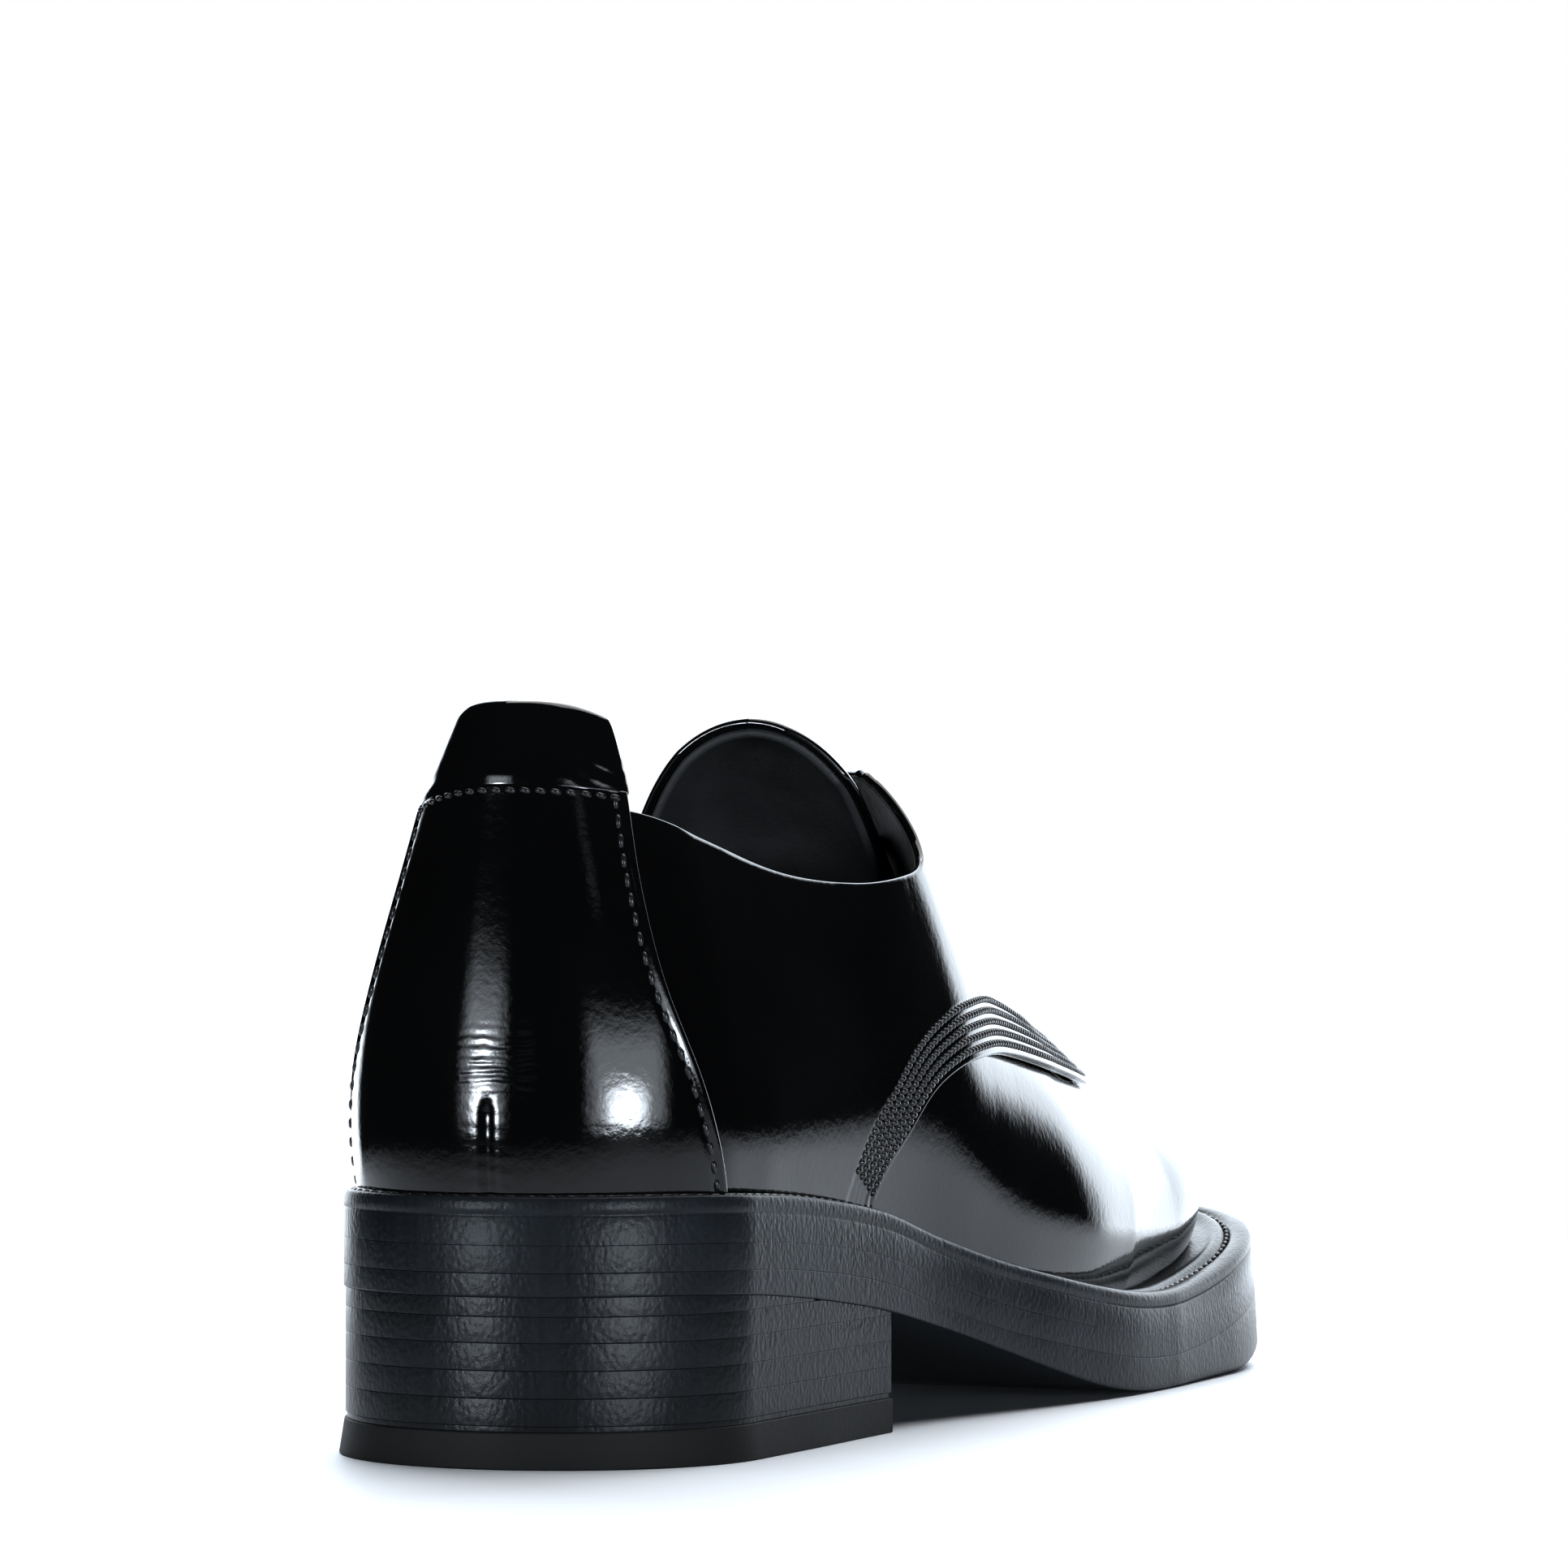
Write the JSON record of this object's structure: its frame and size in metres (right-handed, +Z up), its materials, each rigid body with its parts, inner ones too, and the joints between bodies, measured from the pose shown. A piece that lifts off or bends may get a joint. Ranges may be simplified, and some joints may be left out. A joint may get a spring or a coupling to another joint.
{
  "type": "derby shoe",
  "caption": "Right-foot patent leather lace-up derby shoe with a stacked block heel, a thick welted sole, a broad back strap with heel tab and a hinged tongue.",
  "frame": {"origin": "on the ground, under the middle of the whole shoe's bounding box", "axes": "+Y from heel to toe, +X toward the outer (little toe) side, +Z up"},
  "size_m": [0.0964, 0.2758, 0.1146],
  "materials": {
    "patent": "black patent, mirror gloss",
    "sole_edge": "charcoal edge, satin, fine grain",
    "heel_stack": "charcoal stacked leather, satin",
    "sole_rubber": "matte black",
    "lining": "matte black lining leather",
    "board": "fibre board, matte",
    "cork": "granulated cork",
    "steel": "plain steel",
    "eyelet": "black enamel",
    "lace": "waxed braided cotton"
  },
  "bodies": {
    "shoe": {"heel_top_piece": "sole_rubber", "heel_band": "heel_stack", "heel_lift_1": "heel_stack", "heel_lift_2": "heel_stack", "heel_lift_3": "heel_stack", "heel_lift_cut": "heel_stack", "heel_wedge": "heel_stack", "outsole": "sole_edge", "midsole": "sole_edge", "welt": "sole_edge", "heel_nail_1": "steel", "heel_nail_2": "steel", "heel_nail_3": "steel", "heel_nail_4": "steel", "shank": "steel", "filler": "cork", "insole_board": "board", "sock_liner": "lining", "heel_counter": "board", "toe_puff": "board", "quarter_lining": "lining", "vamp_lining": "lining", "vamp": "patent", "quarter_outer": "patent", "quarter_inner": "patent", "back_strap": "patent", "heel_tab": "patent", "eyelet_outer_1": "eyelet", "eyelet_outer_2": "eyelet", "eyelet_outer_3": "eyelet", "eyelet_outer_4": "eyelet", "eyelet_inner_1": "eyelet", "eyelet_inner_2": "eyelet", "eyelet_inner_3": "eyelet", "eyelet_inner_4": "eyelet", "lace": "lace"},
    "tongue": {"tongue": "patent", "tongue_lining": "lining"}
  },
  "joints": [
    {"name": "tongue_hinge", "type": "hinge", "parent": "shoe", "child": "tongue", "pos_m": [0, 0.062, 0.0575], "axis": [1, 0, 0], "range_deg": [0, 12], "stiffness_Nm_per_rad": 0.4, "springref_deg": -2.86}
  ]
}
